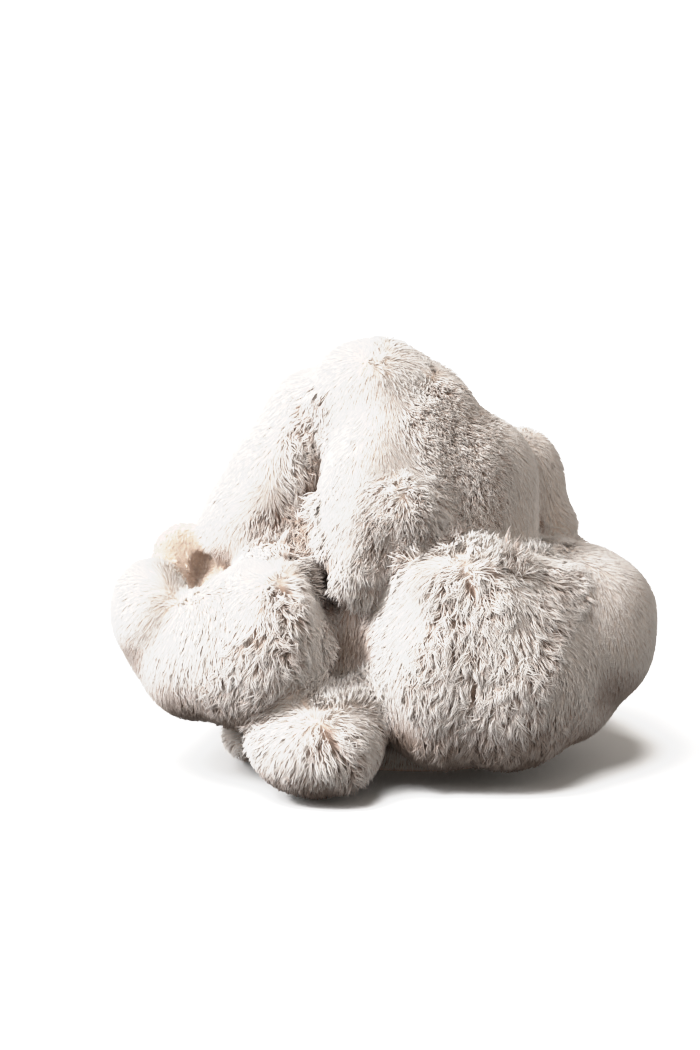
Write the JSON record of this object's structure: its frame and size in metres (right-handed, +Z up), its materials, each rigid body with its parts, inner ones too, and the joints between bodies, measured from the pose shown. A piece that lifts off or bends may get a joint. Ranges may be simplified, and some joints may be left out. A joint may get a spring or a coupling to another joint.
{
  "type": "lions mane mushroom",
  "caption": "Fresh white fungus grown in soft rounded lobes under a shag of short hanging teeth, cut off flat underneath so that it stands by itself.",
  "frame": {"origin": "on the plane of the flat cut foot, under the middle of the body's box", "axes": "+Z up, away from the cut; the side shown in the picture faces -Y, with +X to its right"},
  "size_m": [0.2024, 0.147, 0.1599],
  "materials": {
    "white_flesh": "soft matt white teeth, warmer where they grow from the flesh"
  },
  "bodies": {
    "root": {"fruiting_body": "white_flesh"}
  },
  "joints": []
}
